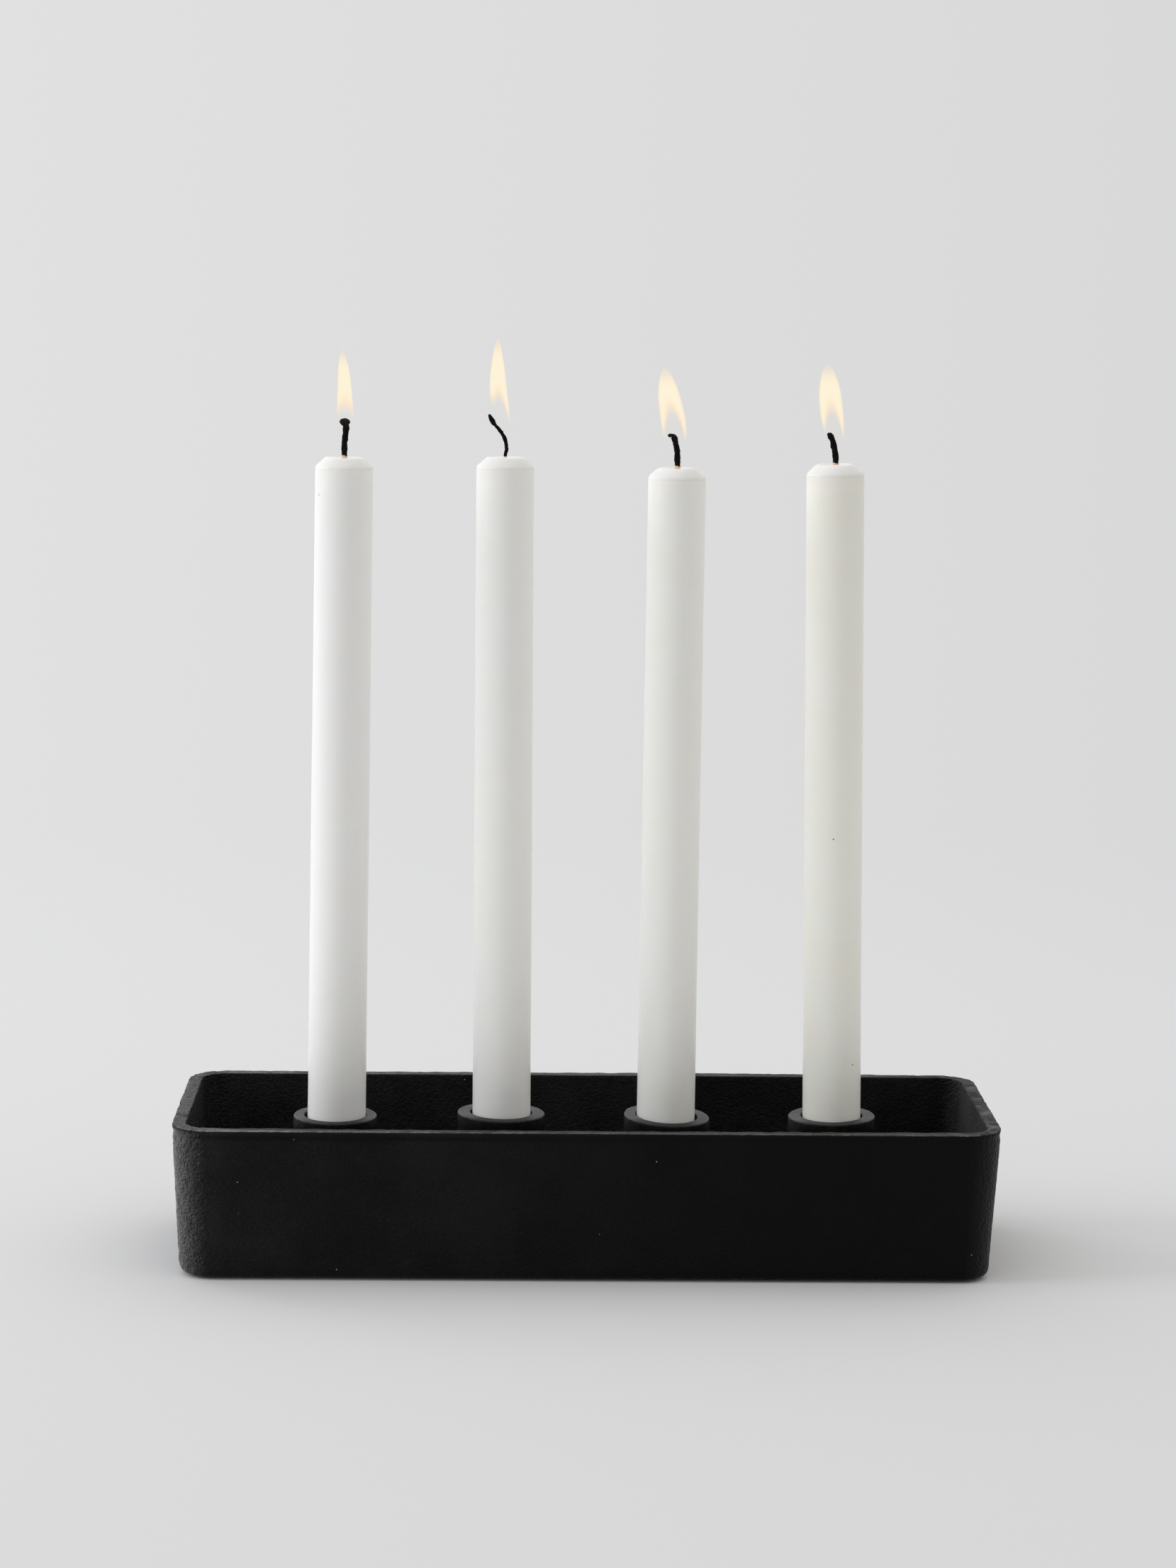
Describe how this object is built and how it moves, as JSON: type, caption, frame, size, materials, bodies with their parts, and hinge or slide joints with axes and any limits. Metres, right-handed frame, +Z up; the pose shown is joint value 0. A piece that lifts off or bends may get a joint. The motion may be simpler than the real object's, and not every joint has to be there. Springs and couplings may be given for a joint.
{
  "type": "candle holder",
  "caption": "Long rectangular cast-iron tray with a row of candle cups standing in it, each holding a lit white dinner candle.",
  "frame": {"origin": "on the table under the tray's middle, at the foot pads' underside", "axes": "+X along the tray, +Z up, -Y the long side that faces the viewer"},
  "size_m": [0.3, 0.101, 0.3377],
  "materials": {
    "cast_iron": "rough sand-cast black, worn grey along the rim",
    "cup_iron": "smoother blackened iron, filed top face",
    "screw_steel": "black oxide",
    "foot_rubber": "matte black rubber",
    "wax": "smooth white candle wax, soft sheen",
    "wick": "charred cotton braid",
    "flame": "glowing gas"
  },
  "bodies": {
    "holder": {"tray": "cast_iron", "candle_cup_1": "cup_iron", "cup_screw_1": "screw_steel", "candle_cup_2": "cup_iron", "cup_screw_2": "screw_steel", "candle_cup_3": "cup_iron", "cup_screw_3": "screw_steel", "candle_cup_4": "cup_iron", "cup_screw_4": "screw_steel", "foot_pad_1": "foot_rubber", "foot_pad_2": "foot_rubber", "foot_pad_3": "foot_rubber", "foot_pad_4": "foot_rubber"},
    "candle_1": {"candle_1_wax": "wax", "candle_1_wick": "wick", "candle_1_flame": "flame"},
    "candle_2": {"candle_2_wax": "wax", "candle_2_wick": "wick", "candle_2_flame": "flame"},
    "candle_3": {"candle_3_wax": "wax", "candle_3_wick": "wick", "candle_3_flame": "flame"},
    "candle_4": {"candle_4_wax": "wax", "candle_4_wick": "wick", "candle_4_flame": "flame"}
  },
  "joints": [
    {"name": "candle_1_lift", "type": "slide", "parent": "holder", "child": "candle_1", "axis": [0.0089, 0, 1], "range_m": [0, 0.04]},
    {"name": "candle_2_lift", "type": "slide", "parent": "holder", "child": "candle_2", "axis": [-0.003, 0, 1], "range_m": [0, 0.04]},
    {"name": "candle_3_lift", "type": "slide", "parent": "holder", "child": "candle_3", "axis": [0.0028, 0, 1], "range_m": [0, 0.04]},
    {"name": "candle_4_lift", "type": "slide", "parent": "holder", "child": "candle_4", "axis": [-0.0152, 0, 0.9999], "range_m": [0, 0.04]}
  ]
}
